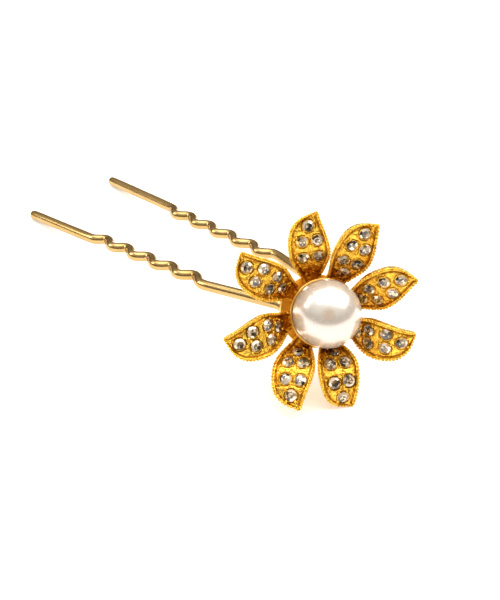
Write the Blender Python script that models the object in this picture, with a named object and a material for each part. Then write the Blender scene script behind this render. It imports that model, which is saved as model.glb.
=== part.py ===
"""Decorative hair pin.

A two-prong pin of crimped round wire carries a flower of eight cast petals on a
back disc. Each petal holds small round stones in blind seats, and a pearl on a
peg sits in a cup in the middle. The pin lies as it does on a table: on the tips
of its petals and its prongs, with the prongs pointing to +Y.
"""

import math

import bmesh
import bpy
import numpy as np
from mathutils import Matrix, Quaternion, Vector
from mathutils.bvhtree import BVHTree

MM = 0.001

# --- Wire pin, in its own frame: prong tips on Y = 0, the flower towards -Y ---
WIRE_DIAMETER = 1.75 * MM
PRONG_SPREAD = 17.8 * MM          # between the wire centres at the tips
PRONG_TAPER = math.radians(2.45)  # each prong leans inward towards the flower
ROOT_TAPER = math.radians(13.0)   # lean of the straight root behind the crimps
CRIMP_START = 17.5 * MM           # plain end before the first crimp
CRIMP_STAGGER = 2.2 * MM          # the right prong is crimped this much later
CRIMP_PITCH = 5.5 * MM
CRIMP_COUNT = 5
CRIMP_DEPTH = 1.28 * MM           # each crimp bows inward by this much
ROOT_BEND_RADIUS = 9.0 * MM       # where the crimped part meets the root
HEEL_RADIUS = 1.9 * MM            # where the root turns onto the back disc
LOOP_DROP = 1.0 * MM              # straight wire between a heel and the end loop

# --- Flower: its origin is the middle of the back disc's front face ---
FLOWER_REACH = 64.1 * MM          # from the prong tips to the flower's origin
FLOWER_OFFSET = -0.9 * MM         # towards +X
FLOWER_RISE = -0.8 * MM           # towards +Z
FLOWER_ELEVATION = math.radians(23.8)   # its face looks up by this much
FLOWER_TURN = math.radians(-25.5)       # and towards the left prong
DISC_DIAMETER = 11.0 * MM
DISC_THICKNESS = 0.9 * MM
DISC_BEVEL = 0.15 * MM

# --- Pearl, its cup and its peg ---
PEARL_DIAMETER = 10.0 * MM
CUP_WALL = 0.25 * MM
CUP_RIM_DROP = 1.5 * MM           # the rim lies this far below the pearl's middle
PEG_DIAMETER = 0.9 * MM
PEG_IN_PEARL = 3.2 * MM           # how far the peg reaches into the pearl

# --- Petals: lengths run along the middle line, from the bend at the root ---
PETAL_LENGTH = 11.3 * MM
PETAL_WIDTH = 6.1 * MM
PETAL_THICKNESS = 1.1 * MM        # at the raised border
BORDER_WIDTH = 0.42 * MM
FIELD_DEPTH = 0.25 * MM           # the stone field lies this far below the border
FOOT_START = -2.3 * MM            # inner end of the flat foot on the disc
FOOT_END = -1.6 * MM              # here the petal starts to leave the disc
NECK_START = -1.1 * MM
NECK_END = 1.2 * MM               # here it has its own slope and twist
FOOT_WIDTH = 2.0 * MM             # at the foot's inner end
NECK_WIDTH = 2.7 * MM             # at the neck's start
PETAL_TUCK = 1.70 * MM            # the petals start at most this far inside the pearl's outline
MIDDLE_SHARE = 0.513              # the slopes below are the petals' slopes here

# Blade edges as shares of the length and of half the width: the full side and
# the hollow side, which meet in a swept tip.
FULL_EDGE = [(0.10, 0.62), (0.38, 0.97), (0.60, 1.03), (0.80, 0.86), (0.93, 0.38), (1.0, -0.46)]
HOLLOW_EDGE = [(0.10, -0.58), (0.38, -0.92), (0.58, -0.90), (0.76, -0.74), (0.89, -0.61),
               (1.0, -0.50)]

# Hand-set petals, clockwise from the top one: azimuth, slope, twist, yaw and arch
# in degrees, the side the tip sweeps to (1 is counter-clockwise), and base stone.
PETALS = [
    ("a", 89, 32, -12, 3, 55, -1, False),
    ("b", 47, 35, 9, 10, 50, -1, True),
    ("c", 4, 43, 23, 14, 48, -1, True),
    ("d", -33, 40, 32, 4, 100, 1, True),
    ("e", -83, 21, 1, -12, 142, 1, True),
    ("f", -130, 26, 34, 8, 82, 1, True),
    ("g", -177, 21, -4, 3, 80, -1, True),
    ("h", 132, 24, -9, 8, 62, -1, True),
]

# --- Stones ---
STONE_DIAMETER = 1.85 * MM
STONE_TABLE = 1.05 * MM
STONE_CROWN = 0.36 * MM
STONE_PAVILION = 0.55 * MM
STONE_CULET = 0.5 * MM
STONE_GIRDLE = 0.10 * MM          # height of the upright band round the stone
STONE_SINK = 0.10 * MM            # the girdle lies this far below the field
STONE_WALL = 0.29 * MM            # metal between two stones side by side
STONE_SIDES = 10
# Place along the petal as a share of its length, and side of its middle line.
STONE_ROWS = [("tip", 0.832, 0), ("outer_left", 0.633, 1), ("outer_right", 0.633, -1),
              ("inner_left", 0.394, 1), ("inner_right", 0.394, -1), ("base", 0.203, 0)]

# --- Clearances ---
SOLDER_GAP = 0.05 * MM            # between pieces that are soldered face to face
GLUE_GAP = 0.06 * MM              # around a glued stone, pearl or peg
PEG_GAP = 0.10 * MM               # around the peg in its holes

# --- Mesh fineness ---
WIRE_SIDES = 10
CRIMP_STEPS = 10
PETAL_STATIONS = 14
ROUND_SIDES = 24
SPINE_STEPS = 120
SHORTEST_STEP = 0.02 * MM         # points of the wire nearer than this are one point

# --- Densities for the balance of the lying pin, kg/m3 ---
DENSITY_BRASS = 8500.0
DENSITY_PEARL = 2500.0
DENSITY_STONE = 2600.0

# Colour, metallic and roughness.
PALE_GOLD = ((0.75, 0.52, 0.24, 1.0), 1.0, 0.24)
RICH_GOLD = ((0.87, 0.48, 0.06, 1.0), 1.0, 0.28)
CRYSTAL = ((0.88, 0.88, 0.86, 1.0), 0.0, 0.04)
NACRE = ((0.90, 0.85, 0.79, 1.0), 0.0, 0.16)

WIRE_RADIUS = WIRE_DIAMETER / 2
PEARL_RADIUS = PEARL_DIAMETER / 2
CUP_INNER = PEARL_RADIUS + GLUE_GAP
CUP_OUTER = CUP_INNER + CUP_WALL
PEARL_HEIGHT = SOLDER_GAP + CUP_OUTER
HOLE_RADIUS = PEG_DIAMETER / 2 + PEG_GAP
FIELD_HEIGHT = PETAL_THICKNESS / 2 - FIELD_DEPTH
PETAL_MIDDLE = PETAL_LENGTH * MIDDLE_SHARE
STONE_SPACING = STONE_DIAMETER + STONE_WALL
# The feet start where the cup's underside clears their top, and where the blades
# that rise from them clear the pearl.
FOOT_CLEARS = PEARL_HEIGHT - PETAL_THICKNESS - 2 * SOLDER_GAP
FOOT_RADIUS = max(math.sqrt(CUP_OUTER ** 2 - FOOT_CLEARS ** 2), PEARL_RADIUS - PETAL_TUCK)


def clear_scene():
    for obj in list(bpy.data.objects):
        bpy.data.objects.remove(obj, do_unlink=True)


def make_material(name, finish):
    colour, metallic, roughness = finish
    material = bpy.data.materials.new(name)
    material.use_nodes = True
    shader = material.node_tree.nodes["Principled BSDF"]
    shader.inputs["Base Color"].default_value = colour
    shader.inputs["Metallic"].default_value = metallic
    shader.inputs["Roughness"].default_value = roughness
    return material


def add_empty(name, parent, matrix):
    empty = bpy.data.objects.new(name, None)
    bpy.context.collection.objects.link(empty)
    empty.parent = parent
    empty.matrix_local = matrix
    return empty


def add_object(name, mesh, parent, finish, matrix=None):
    """Link an object with its own material, shaded smooth up to 35 degrees."""
    obj = bpy.data.objects.new(name, mesh)
    bpy.context.collection.objects.link(obj)
    obj.parent = parent
    obj.matrix_local = matrix or Matrix()
    if finish:
        if not mesh.materials:
            mesh.materials.append(None)
        obj.material_slots[0].link = "OBJECT"
        obj.material_slots[0].material = make_material(name, finish)
    mesh.shade_smooth()
    mesh.set_sharp_from_angle(angle=math.radians(35))
    return obj


def loft(name, rings, closed=True):
    """A mesh through rings of points, capped at both ends, or joined in a loop."""
    bm = bmesh.new()
    loops = [[bm.verts.new(point) for point in ring] for ring in rings]
    pairs = list(zip(loops, loops[1:]))
    if not closed:
        pairs.append((loops[-1], loops[0]))
    for ring, following in pairs:
        for i, vert in enumerate(ring):
            j = (i + 1) % len(ring)
            bm.faces.new((vert, ring[j], following[j], following[i]))
    if closed:
        bm.faces.new(reversed(loops[0]))
        bm.faces.new(loops[-1])
    bmesh.ops.recalc_face_normals(bm, faces=bm.faces[:])
    mesh = bpy.data.meshes.new(name)
    bm.to_mesh(mesh)
    bm.free()
    return mesh


def turn(name, profile, sides, through_hole=False):
    """Turn a profile of (radius, height) points about Z.

    With a through hole the profile is a closed loop, so the rings join up.
    """
    rings = []
    for radius, height in profile:
        angles = [2 * math.pi * i / sides for i in range(sides)]
        rings.append([(radius * math.cos(a), radius * math.sin(a), height) for a in angles])
    return loft(name, rings, closed=not through_hole)


def arc_profile(radius, middle_height, start, end, steps):
    """Points (radius, height) on a circle about the axis, by polar angle from +Z."""
    points = []
    for i in range(steps + 1):
        angle = start + (end - start) * i / steps
        points.append((radius * math.sin(angle), middle_height + radius * math.cos(angle)))
    return points


# --- Wire pin -----------------------------------------------------------------

def round_corners(points, radii, steps):
    """Follow straight runs between points, with an arc of its radius at each corner."""
    path = [points[0]]
    for before, corner, after, radius in zip(points, points[1:], points[2:], radii):
        back = (before - corner).normalized()
        ahead = (after - corner).normalized()
        half = back.angle(ahead) / 2
        tangent = radius / math.tan(half)
        centre = corner + (back + ahead).normalized() * (radius / math.sin(half))
        start = corner + back * tangent - centre
        end = corner + ahead * tangent - centre
        sweep = Quaternion(start.cross(end), start.angle(end))
        for i in range(steps + 1):
            path.append(centre + Quaternion().slerp(sweep, i / steps) @ start)
    path.append(points[-1])
    return path


def prong_line(side):
    """Tip, inward direction and crimp end of one prong; side is -1 left, 1 right."""
    tip = Vector((side * PRONG_SPREAD / 2, 0, 0))
    along = Vector((-side * math.sin(PRONG_TAPER), -math.cos(PRONG_TAPER), 0))
    start = CRIMP_START + (CRIMP_STAGGER if side > 0 else 0)
    end = start + CRIMP_COUNT * CRIMP_PITCH
    return tip, along, start, end


def crimped_run(side):
    """Points of a prong from its tip to the end of its crimps."""
    tip, along, start, _ = prong_line(side)
    inward = Vector((-side * math.cos(PRONG_TAPER), math.sin(PRONG_TAPER), 0))
    points = [tip + along * WIRE_RADIUS, tip + along * (start / 2)]
    for i in range(CRIMP_COUNT * CRIMP_STEPS + 1):
        turn_share = i / CRIMP_STEPS
        bow = CRIMP_DEPTH / 2 * (1 - math.cos(2 * math.pi * turn_share))
        points.append(tip + along * (start + turn_share * CRIMP_PITCH) + inward * bow)
    return points


def heel(side, flower):
    """Where a root meets the plane that the end loop lies in, behind the disc."""
    tip, along, _, end = prong_line(side)
    root_start = tip + along * (end + ROOT_BEND_RADIUS * math.tan((ROOT_TAPER - PRONG_TAPER) / 2))
    root_along = Vector((-side * math.sin(ROOT_TAPER), -math.cos(ROOT_TAPER), 0))
    axis = flower.to_3x3() @ Vector((0, 0, 1))
    behind = DISC_THICKNESS + SOLDER_GAP + WIRE_RADIUS
    plane_point = flower @ Vector((0, 0, -behind))
    run = axis.dot(plane_point - root_start) / axis.dot(root_along)
    return root_start, root_start + root_along * run


def wire_path(flower):
    """Centre line of the wire, from the left tip round the end loop to the right tip."""
    left_root, left_heel = heel(-1, flower)
    right_root, right_heel = heel(1, flower)
    axis = flower.to_3x3() @ Vector((0, 0, 1))
    across = right_heel - left_heel
    down = across.normalized().cross(axis)
    loop_radius = across.length / 2
    drop = down * (LOOP_DROP + loop_radius)
    left, right = crimped_run(-1), crimped_run(1)
    corners = [left[-1], left_root, left_heel, left_heel + drop,
               right_heel + drop, right_heel, right_root, right[-1]]
    radii = [ROOT_BEND_RADIUS, HEEL_RADIUS, loop_radius, loop_radius,
             HEEL_RADIUS, ROOT_BEND_RADIUS]
    middle = round_corners(corners, radii, 5)
    return drop_doubles(left + middle + right[::-1])


def drop_doubles(points):
    """The points with those left out that lie on the one before."""
    kept = [points[0]]
    for point in points[1:]:
        if (point - kept[-1]).length > SHORTEST_STEP:
            kept.append(point)
    return kept


def sweep_circle(name, path, radius, sides):
    """Sweep a circle along a path, with a domed end on each side."""
    tangents = [(b - a).normalized() for a, b in zip(path, path[1:])]
    tangents = [tangents[0]] + [(a + b).normalized() for a, b in zip(tangents, tangents[1:])]
    tangents.append((path[-1] - path[-2]).normalized())
    normal = Vector((0, 0, 1))
    rings = []
    dome = [(math.radians(a), radius) for a in (12, 40, 68)]
    for angle, size in dome:
        rings.append((path[0] - tangents[0] * size * math.cos(angle), tangents[0],
                      size * math.sin(angle)))
    rings += [(point, tangent, radius) for point, tangent in zip(path, tangents)]
    for angle, size in reversed(dome):
        rings.append((path[-1] + tangents[-1] * size * math.cos(angle), tangents[-1],
                      size * math.sin(angle)))
    loops = []
    previous = tangents[0]
    for centre, tangent, size in rings:
        normal = previous.rotation_difference(tangent) @ normal
        normal = (normal - tangent * normal.dot(tangent)).normalized()
        side = tangent.cross(normal)
        angles = [2 * math.pi * i / sides for i in range(sides)]
        loops.append([centre + (normal * math.cos(a) + side * math.sin(a)) * size for a in angles])
        previous = tangent
    return loft(name, loops)


def build_wire(root, flower):
    mesh = sweep_circle("hairpin_wire", wire_path(flower), WIRE_RADIUS, WIRE_SIDES)
    add_object("hairpin_wire", mesh, root, PALE_GOLD)


# --- Flower centre ------------------------------------------------------------

def build_back_disc(flower):
    """A bevelled disc with the peg's hole, its front face at height 0."""
    radius = DISC_DIAMETER / 2
    profile = [(HOLE_RADIUS, 0), (radius - DISC_BEVEL, 0), (radius, -DISC_BEVEL),
               (radius, DISC_BEVEL - DISC_THICKNESS),
               (radius - DISC_BEVEL, -DISC_THICKNESS), (HOLE_RADIUS, -DISC_THICKNESS)]
    mesh = turn("back_disc", profile, ROUND_SIDES, through_hole=True)
    add_object("back_disc", mesh, flower, RICH_GOLD)


def build_pearl_cup(flower):
    """A bowl around the lower part of the pearl, with the peg's hole."""
    outer_hole = math.pi - math.asin(HOLE_RADIUS / CUP_OUTER)
    outer_rim = math.acos(-CUP_RIM_DROP / CUP_OUTER)
    inner_hole = math.pi - math.asin(HOLE_RADIUS / CUP_INNER)
    inner_rim = math.acos(-CUP_RIM_DROP / CUP_INNER)
    profile = arc_profile(CUP_OUTER, PEARL_HEIGHT, outer_hole, outer_rim, 6)
    profile += arc_profile(CUP_INNER, PEARL_HEIGHT, inner_rim, inner_hole, 6)
    mesh = turn("pearl_cup", profile, ROUND_SIDES, through_hole=True)
    add_object("pearl_cup", mesh, flower, RICH_GOLD)


def build_pearl(flower):
    """A ball with a blind hole for the peg."""
    hole_angle = math.pi - math.asin(HOLE_RADIUS / PEARL_RADIUS)
    hole_top = PEARL_HEIGHT - PEARL_RADIUS + PEG_IN_PEARL + GLUE_GAP
    profile = arc_profile(PEARL_RADIUS, PEARL_HEIGHT, math.radians(7), hole_angle, 13)
    profile.append((HOLE_RADIUS, hole_top))
    mesh = turn("pearl", profile, ROUND_SIDES)
    add_object("pearl", mesh, flower, NACRE)


def build_peg(flower):
    """A round peg from the disc's back, through disc and cup, into the pearl."""
    radius = PEG_DIAMETER / 2
    top = PEARL_HEIGHT - PEARL_RADIUS + PEG_IN_PEARL
    tip = radius / 3
    profile = [(radius, -DISC_THICKNESS), (radius, top - tip), (radius - tip, top)]
    mesh = turn("pearl_peg", profile, 12)
    add_object("pearl_peg", mesh, flower, RICH_GOLD)


# --- Petals and stones --------------------------------------------------------

class PetalSheet:
    """The arched and twisted middle surface of one petal."""

    def __init__(self, slope, twist, yaw, arch):
        self.arch = math.radians(arch)
        self.own_turn = (Quaternion((0, 1, 0), -math.radians(slope))
                         @ Quaternion((1, 0, 0), math.radians(twist))
                         @ Quaternion((0, 0, 1), math.radians(yaw)))
        self.lengths = np.linspace(FOOT_START, PETAL_LENGTH, SPINE_STEPS + 1)
        step = self.lengths[1] - self.lengths[0]
        foot_height = SOLDER_GAP + PETAL_THICKNESS / 2
        spot = Vector((FOOT_RADIUS, 0, foot_height))
        spots = [spot.copy()]
        for length in self.lengths[:-1] + step / 2:
            spot = spot + self.direction(length) @ Vector((step, 0, 0))
            spots.append(spot.copy())
        self.spots = np.array(spots)

    def direction(self, length):
        """Turn of the surface at a length along the middle line."""
        curl = Quaternion((0, 1, 0), self.arch * (max(length, NECK_END) - PETAL_MIDDLE)
                          / PETAL_LENGTH)
        free = self.own_turn @ curl
        share = min(max((length - FOOT_END) / (NECK_END - FOOT_END), 0), 1)
        return Quaternion().slerp(free, share * share * (3 - 2 * share))

    def point(self, length, across, height):
        spot = Vector([np.interp(length, self.lengths, self.spots[:, i]) for i in range(3)])
        return spot + self.direction(length) @ Vector((0, across, height))

    def frame(self, length, across, height):
        matrix = self.direction(length).to_matrix().to_4x4()
        matrix.translation = self.point(length, across, height)
        return matrix


def smooth_curve(points, steps):
    """Catmull-Rom samples through points, with its ends held."""
    points = [Vector(p) for p in points]
    held = [points[0]] + points + [points[-1]]
    samples = []
    for i in range(steps + 1):
        place = i / steps * (len(points) - 1)
        k = min(int(place), len(points) - 2)
        t = place - k
        p0, p1, p2, p3 = held[k:k + 4]
        samples.append(0.5 * (2 * p1 + (p2 - p0) * t + (2 * p0 - 5 * p1 + 4 * p2 - p3) * t * t
                              + (3 * p1 - p0 - 3 * p2 + p3) * t ** 3))
    return samples


def petal_edge(blade, sweep):
    """One edge of a petal, from its foot to its tip, as (length, across) points."""
    side = sweep if blade[0][1] > 0 else -sweep
    points = [(FOOT_START, side * FOOT_WIDTH / 2), (NECK_START, side * NECK_WIDTH / 2)]
    points += [(share * PETAL_LENGTH, sweep * across * PETAL_WIDTH / 2) for share, across in blade]
    return smooth_curve(points, PETAL_STATIONS)


def petal_mesh(name, sheet, sweep):
    """A cast petal: flat back, raised border and a sunken field between."""
    half = PETAL_THICKNESS / 2
    rings = []
    for a, b in zip(petal_edge(FULL_EDGE, -sweep), petal_edge(HOLLOW_EDGE, -sweep)):
        width = (b - a).length
        border = min(BORDER_WIDTH, width * 0.3) / width
        field = half - FIELD_DEPTH * min(1, width / (4 * BORDER_WIDTH))
        section = [(0, -half), (0, half), (border, half), (border, field),
                   (1 - border, field), (1 - border, half), (1, half), (1, -half)]
        ring = []
        for share, height in section:
            spot = a.lerp(b, share)
            ring.append(sheet.point(spot.x, spot.y, height))
        rings.append(ring)
    return loft(name, rings)


def stone_profile(grow=0.0):
    """Chaton outline from culet to table; a seat is the same outline, grown."""
    girdle = STONE_DIAMETER / 2 + grow
    profile = [(STONE_CULET / 2 + grow, -STONE_PAVILION - grow), (girdle, -STONE_GIRDLE / 2)]
    if grow:
        return profile + [(girdle, STONE_CROWN + PETAL_THICKNESS)]
    return profile + [(girdle, STONE_GIRDLE / 2), (STONE_TABLE / 2, STONE_CROWN)]


def cut_seats(petal, seats):
    """Cut all seats out of a petal and keep the result as its mesh."""
    for frame in seats:
        cutter_mesh = turn("seat_cutter", stone_profile(GLUE_GAP), STONE_SIDES)
        cutter = add_object("seat_cutter", cutter_mesh, petal.parent, None, frame)
        cutter.hide_render = True
        cutter.display_type = "WIRE"
        cut = petal.modifiers.new("seat", "BOOLEAN")
        cut.operation = "DIFFERENCE"
        cut.solver = "EXACT"
        cut.object = cutter


def build_petal(flower, stone_mesh, letter, azimuth, slope, twist, yaw, arch, sweep,
                has_base_stone):
    sheet = PetalSheet(slope, twist, yaw, arch)
    holder = add_empty("petal_%s_place" % letter, flower,
                       Matrix.Rotation(math.radians(azimuth), 4, "Z"))
    name = "petal_" + letter
    petal = add_object(name, petal_mesh(name, sheet, sweep), holder, RICH_GOLD)
    seats = []
    for row, share, side in STONE_ROWS:
        if row == "base" and not has_base_stone:
            continue
        across = side * STONE_SPACING / 2
        frame = sheet.frame(share * PETAL_LENGTH, across, FIELD_HEIGHT - STONE_SINK)
        seats.append(frame)
        add_object("stone_%s_%s" % (letter, row), stone_mesh, holder, CRYSTAL, frame)
    cut_seats(petal, seats)


# --- Lying on a table ---------------------------------------------------------

def density_of(obj):
    if obj.name == "pearl":
        return DENSITY_PEARL
    return DENSITY_STONE if obj.name.startswith("stone") else DENSITY_BRASS


def mass_and_moment(obj):
    """Mass of a solid and mass times centre, from the tetrahedra below its faces."""
    mesh = obj.data
    mesh.calc_loop_triangles()
    corners = np.array([obj.matrix_world @ v.co for v in mesh.vertices])
    triangles = np.array([t.vertices[:] for t in mesh.loop_triangles])
    a, b, c = (corners[triangles[:, i]] for i in range(3))
    volumes = np.einsum("ij,ij->i", a, np.cross(b, c)) / 6
    moment = ((a + b + c) / 4 * volumes[:, None]).sum(axis=0)
    return volumes.sum() * density_of(obj), moment * density_of(obj), corners


def lying_turn(solids):
    """Turn that lays the pin on the face of its hull that its weight rests on."""
    parts = [mass_and_moment(obj) for obj in solids]
    weight = sum(part[0] for part in parts)
    centre = Vector(sum(part[1] for part in parts) / weight)
    hull = bmesh.new()
    for part in parts:
        for corner in part[2]:
            hull.verts.new(corner)
    bmesh.ops.convex_hull(hull, input=hull.verts[:], use_existing_faces=False)
    bmesh.ops.triangulate(hull, faces=hull.faces[:])
    hull.normal_update()
    tree = BVHTree.FromBMesh(hull)
    hull.free()
    down = Vector((0, 0, -1))
    for _ in range(20):
        _, normal, _, _ = tree.ray_cast(centre, down)
        if normal.dot(down) < 0:
            normal.negate()
        if normal.dot(down) > 0.9999999:
            break
        down = normal
    return down.rotation_difference(Vector((0, 0, -1))).to_matrix().to_4x4()


def lay_on_table(root, solids):
    """Lay the pin down, prongs level towards +Y, its box centred on the origin."""
    bpy.context.view_layer.update()
    level = lying_turn(solids)
    tips = level.to_3x3() @ Vector((1, 0, 0))
    heading = Matrix.Rotation(-math.atan2(tips.y, tips.x), 4, "Z")
    root.matrix_world = heading @ level
    bpy.context.view_layer.update()
    corners = np.array([obj.matrix_world @ v.co for obj in solids for v in obj.data.vertices])
    low, high = corners.min(axis=0), corners.max(axis=0)
    middle = (low + high) / 2
    shift = Matrix.Translation((-middle[0], -middle[1], -low[2]))
    root.matrix_world = shift @ root.matrix_world


def main():
    clear_scene()
    root = add_empty("hair_pin", None, Matrix())
    place = Matrix.Translation((FLOWER_OFFSET, -FLOWER_REACH, FLOWER_RISE))
    place = place @ Matrix.Rotation(FLOWER_TURN, 4, "Z")
    place = place @ Matrix.Rotation(math.pi / 2 - FLOWER_ELEVATION, 4, "X")
    flower = add_empty("flower", root, place)
    build_wire(root, place)
    build_back_disc(flower)
    build_peg(flower)
    build_pearl_cup(flower)
    build_pearl(flower)
    stone_mesh = turn("stone", stone_profile(), STONE_SIDES)
    for petal in PETALS:
        build_petal(flower, stone_mesh, *petal)
    solids = [obj for obj in bpy.data.objects if obj.type == "MESH" and not obj.hide_render]
    lay_on_table(root, solids)


main()
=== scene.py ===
"""Finish of a decorative hair pin: crimped wire, stone-set petals and a pearl."""

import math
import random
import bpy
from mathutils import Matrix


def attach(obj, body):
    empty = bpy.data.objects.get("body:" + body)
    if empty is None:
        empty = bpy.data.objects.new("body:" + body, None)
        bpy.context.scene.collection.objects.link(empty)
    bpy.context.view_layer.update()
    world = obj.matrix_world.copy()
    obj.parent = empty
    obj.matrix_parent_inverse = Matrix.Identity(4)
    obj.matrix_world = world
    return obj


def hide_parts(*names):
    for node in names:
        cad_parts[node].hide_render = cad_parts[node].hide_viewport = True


bl_info = {
    "name": "Pearl Flower Hair Pin",
    "version": (1, 0, 0),
    "blender": (4, 5, 0),
    "location": "View3D > Sidebar > Hair Pin",
    "description": "Builds the finish of a hair pin with a pearl and stone-set petals",
    "category": "Object",
}

import bmesh
import bpy
import numpy as np
from mathutils import Euler, Matrix, Quaternion, Vector

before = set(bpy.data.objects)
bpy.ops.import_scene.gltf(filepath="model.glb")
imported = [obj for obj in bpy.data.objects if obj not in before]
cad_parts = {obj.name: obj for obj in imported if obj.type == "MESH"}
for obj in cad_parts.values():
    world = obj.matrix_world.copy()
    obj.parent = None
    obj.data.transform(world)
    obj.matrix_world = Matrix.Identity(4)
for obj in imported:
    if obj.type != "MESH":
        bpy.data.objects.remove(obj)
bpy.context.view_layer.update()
MM = 0.001

# Sizes that the metal and stones share with the solid model, in millimetres.
DISC_RADIUS = 5.5
DISC_THICKNESS = 0.9
PEG_RADIUS = 0.45
HOLE_RADIUS = 0.55
PEG_IN_PEARL = 3.2                # how far the peg reaches into the pearl
PEARL_RADIUS = 5.0
PEARL_HEIGHT = 5.36               # its middle above the disc's front face
CUP_INNER = 5.06
CUP_OUTER = 5.31
CUP_RIM = -1.5                    # the rim, from the pearl's middle
PETAL_LENGTH = 11.3
PETAL_WIDTH = 6.1
PETAL_THICKNESS = 1.1
FIELD_DEPTH = 0.25
FOOT_START = -2.3
FOOT_END = -1.6
NECK_START = -1.1
NECK_END = 1.2
FOOT_WIDTH = 2.0
NECK_WIDTH = 2.7
FOOT_RADIUS = 3.3001
PETAL_MIDDLE = 0.513 * PETAL_LENGTH
SOLDER_GAP = 0.05
FULL_EDGE = [(0.10, 0.62), (0.38, 0.97), (0.60, 1.03), (0.80, 0.86), (0.93, 0.38), (1.0, -0.46)]
HOLLOW_EDGE = [(0.10, -0.58), (0.38, -0.92), (0.58, -0.90), (0.76, -0.74), (0.89, -0.61),
               (1.0, -0.50)]
# Letter, azimuth, slope, twist, yaw and arch in degrees, the side the tip sweeps
# to, and whether it has a stone at its base.
PETALS = [
    ("a", 89, 32, -12, 3, 55, -1, False),
    ("b", 47, 35, 9, 10, 50, -1, True),
    ("c", 4, 43, 23, 14, 48, -1, True),
    ("d", -33, 40, 32, 4, 100, 1, True),
    ("e", -83, 21, 1, -12, 142, 1, True),
    ("f", -130, 26, 34, 8, 82, 1, True),
    ("g", -177, 21, -4, 3, 80, -1, True),
    ("h", 132, 24, -9, 8, 62, -1, True),
]
STONE_RADIUS = 0.925
STONE_TABLE = 0.525
STONE_CROWN = 0.36
STONE_PAVILION = 0.55
STONE_SINK = 0.10
STONE_SPACING = 2.14
STONE_ROWS = [("tip", 0.832, 0), ("outer_left", 0.633, 1), ("outer_right", 0.633, -1),
              ("inner_left", 0.394, 1), ("inner_right", 0.394, -1), ("base", 0.203, 0)]

# Camera, from the middle of the disc's front face, in the flower's own frame.
CAMERA_PLACE = (-45.61, 23.13, 164.39)
CAMERA_TURN = (-3.742, -13.467, -12.329)
CAMERA_LENS = 83.5

STATIONS = 60
# Cross-section of a petal's edge: distance in from the edge, and height below the
# top of the border, in millimetres; the border, its groove, then the stone field.
EDGE_SECTION = [(0.0, 0.34), (0.04, 0.22), (0.12, 0.15), (0.24, 0.12), (0.38, 0.13),
                (0.46, 0.20), (0.52, 0.36), (0.60, 0.40), (0.68, 0.34), (0.78, 0.25)]
MIDDLE_COLUMNS = 9

# Finish details, in millimetres.
PLATE_THICKNESS = 0.03            # plate on the wire
BEAD_DEPTH = 0.13                 # middle of a milled bead, below the border's top
BEAD_CUT = 0.45                   # a bead ends this share of its radius below its middle
GRAIN_GAP = 0.16                  # from a stone's edge to the middles of its grains
GRAIN_TRIES = 150                 # spots tried for the strewn grains of a petal
GRAIN_BORDER = 0.72               # grains keep this far from a petal's edge

# Stage: metres, watts and linear colours.
FLOOR_SIDE = 12.0
FLOOR_GLOW = 0.35
# Each soft light's name, place from the flower, width, height and power.
LIGHTS = [("overhead_softbox", (0.12, -0.01, 0.45), 1.0, 0.55, 4.0),
          ("side_softbox", (-0.30, 0.45, 0.30), 0.30, 0.20, 0.9)]
LIGHT_COLOUR = (1.0, 0.99, 0.97)
# Height in the room, as the sine of its elevation, and the colour seen there.
ROOM = [(0.0, (0.16, 0.13, 0.10)), (0.30, (0.26, 0.22, 0.18)),
        (0.55, (0.60, 0.57, 0.52)), (0.85, (0.90, 0.90, 0.88))]
# The brown patch round the viewer: its colour, and the cosines of its edge and core.
PATCH_COLOUR = (0.42, 0.20, 0.05, 1.0)
PATCH_EDGE = 0.90
PATCH_CORE = 0.97


# --- Settings -----------------------------------------------------------------

def length(name, description, millimetres):
    return bpy.props.FloatProperty(name=name, description=description, default=millimetres * MM,
                                   min=0.0, unit="LENGTH", precision=5)


def colour(name, description, value):
    return bpy.props.FloatVectorProperty(name=name, description=description, default=value,
                                         size=3, min=0.0, max=1.0, subtype="COLOR")


class HairPinSizes(bpy.types.PropertyGroup):
    bead_radius: length("Bead radius", "Radius of a milled bead on a petal's border", 0.215)
    bead_pitch: length("Bead pitch", "Distance from bead to bead along the border", 0.50)
    bead_inset: length("Bead inset", "Distance of the bead row from the petal's edge", 0.12)
    bezel_radius: length("Bezel radius", "Radius of the rim wire round a stone", 1.0)
    bezel_wire: length("Bezel wire", "Half the thickness of that rim wire", 0.075)
    grain_radius: length("Grain radius", "Radius of the largest grains round the stones", 0.26)
    cup_lip: length("Cup lip", "Radius of the rolled lip of the pearl's cup", 0.15)


class HairPinColours(bpy.types.PropertyGroup):
    petal_gold: colour("Petal gold", "Polished tops of the cast petals", (1.0, 0.64, 0.085))
    # petal_shade is the colour of the painted shade in the petals' grooves, stone seats, feet and
    # undersides, and of the shadow painted on the bezels; beads and setting also use it for random
    # clouding.
    petal_shade: colour("Petal shade", "Recesses of the cast petals", (0.50, 0.20, 0.009))
    disc_gold: colour("Setting gold", "Disc, cup and peg", (0.98, 0.60, 0.12))
    wire_gold: colour("Wire gold", "Wire of the pin", (0.57, 0.395, 0.165))
    pearl_body: colour("Pearl body", "Body colour of the pearl", (0.79, 0.74, 0.655))
    pearl_blush: colour("Pearl blush", "Faint clouds in the nacre", (0.79, 0.70, 0.59))
    # stone_light, stone_warm and stone_dark are painted light: the highlights, reflections of the
    # gold and dark reflections that facets send back are painted into the crystal's colour.
    stone_light: colour("Stone light", "Facets that send light back", (1.0, 0.88, 0.68))
    stone_warm: colour("Stone warm", "Facets that mirror the gold round them", (0.50, 0.34, 0.17))
    stone_dark: colour("Stone dark", "Facets that look through to the foil", (0.025, 0.017, 0.010))
    floor: colour("Floor", "Pale floor under the pin", (0.92, 0.92, 0.92))


# --- Modelling helpers --------------------------------------------------------

def deselect_all():
    if bpy.context.mode != "OBJECT":
        bpy.ops.object.mode_set(mode="OBJECT")
    bpy.ops.object.select_all(action="DESELECT")


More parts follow.
